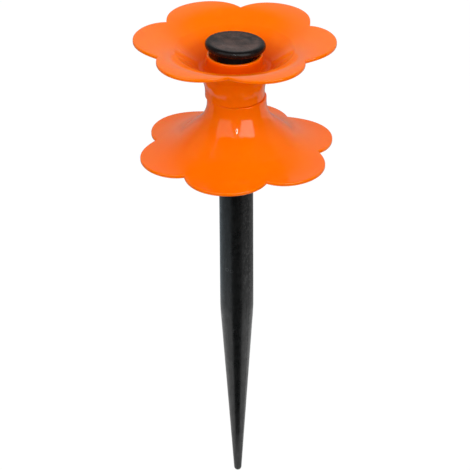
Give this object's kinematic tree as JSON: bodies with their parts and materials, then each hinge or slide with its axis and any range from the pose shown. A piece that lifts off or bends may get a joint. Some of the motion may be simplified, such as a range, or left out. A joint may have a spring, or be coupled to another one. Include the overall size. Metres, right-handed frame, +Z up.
{
  "type": "hose guide stake",
  "caption": "Ground stake with flower-shaped plastic rollers that turn on its spindle and lead a garden hose round the corner of a bed.",
  "frame": {"origin": "on the stake's axis, in the plane of the lower flower's rim, which stands at ground level when the stake is pushed home", "axes": "+Z up along the stake, +X to the right of the picture, +Y away from its camera"},
  "size_m": [0.1098, 0.1092, 0.2823],
  "materials": {
    "flower_plastic": "glossy orange moulding",
    "stake_plastic": "satin black moulding",
    "cap_plastic": "satin black moulding"
  },
  "bodies": {
    "stake": {"ground_stake": "stake_plastic", "cap": "cap_plastic"},
    "lower_roller": {"lower_flower": "flower_plastic"},
    "upper_roller": {"upper_flower": "flower_plastic"}
  },
  "joints": [
    {"name": "lower_spin", "type": "hinge", "parent": "stake", "child": "lower_roller", "pos_m": [0.0006, 0, 0.0162], "axis": [0, 0, 1], "continuous": true},
    {"name": "upper_spin", "type": "hinge", "parent": "stake", "child": "upper_roller", "pos_m": [-0.0004, 0, 0.0488], "axis": [0, 0, 1], "continuous": true}
  ]
}
